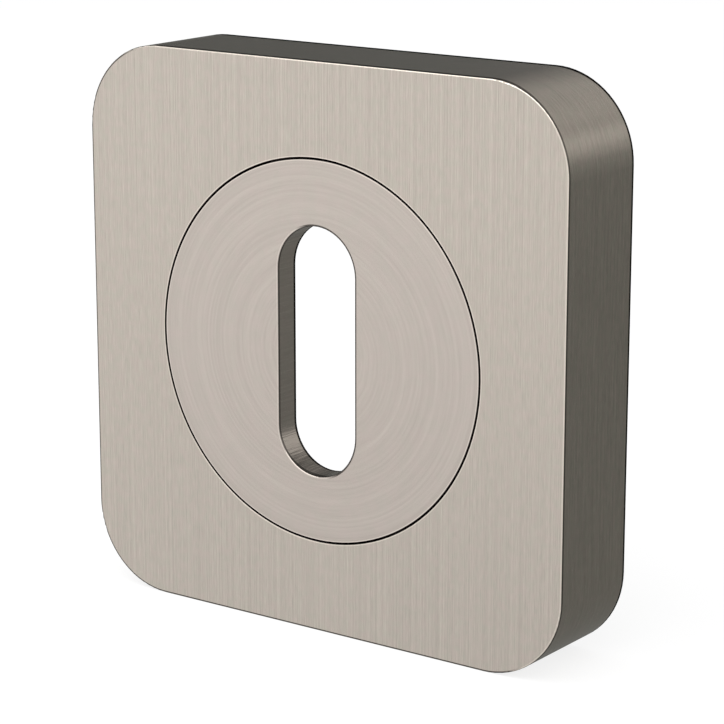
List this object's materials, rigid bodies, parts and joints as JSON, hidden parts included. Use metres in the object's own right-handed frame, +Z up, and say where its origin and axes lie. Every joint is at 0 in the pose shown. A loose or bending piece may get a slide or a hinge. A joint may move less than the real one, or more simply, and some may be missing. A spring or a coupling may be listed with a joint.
{
  "type": "keyhole escutcheon",
  "caption": "Square key escutcheon with rounded corners: brushed cover, flush round insert with an upright key slot, and a screw-on base that the cover snaps onto.",
  "frame": {"origin": "centre of the four screw holes on the plane of the door, which is the centre of the back", "axes": "+Y points into the door and the front faces -Y, +Z is up along the key slot, +X is to the right seen from the front"},
  "size_m": [0.05, 0.01, 0.05],
  "materials": {
    "satin_nickel": "satin",
    "turned_nickel": "satin",
    "nylon": "matte"
  },
  "bodies": {
    "root": {"cover": "satin_nickel", "key_insert": "turned_nickel", "base_plate": "nylon"}
  },
  "joints": []
}
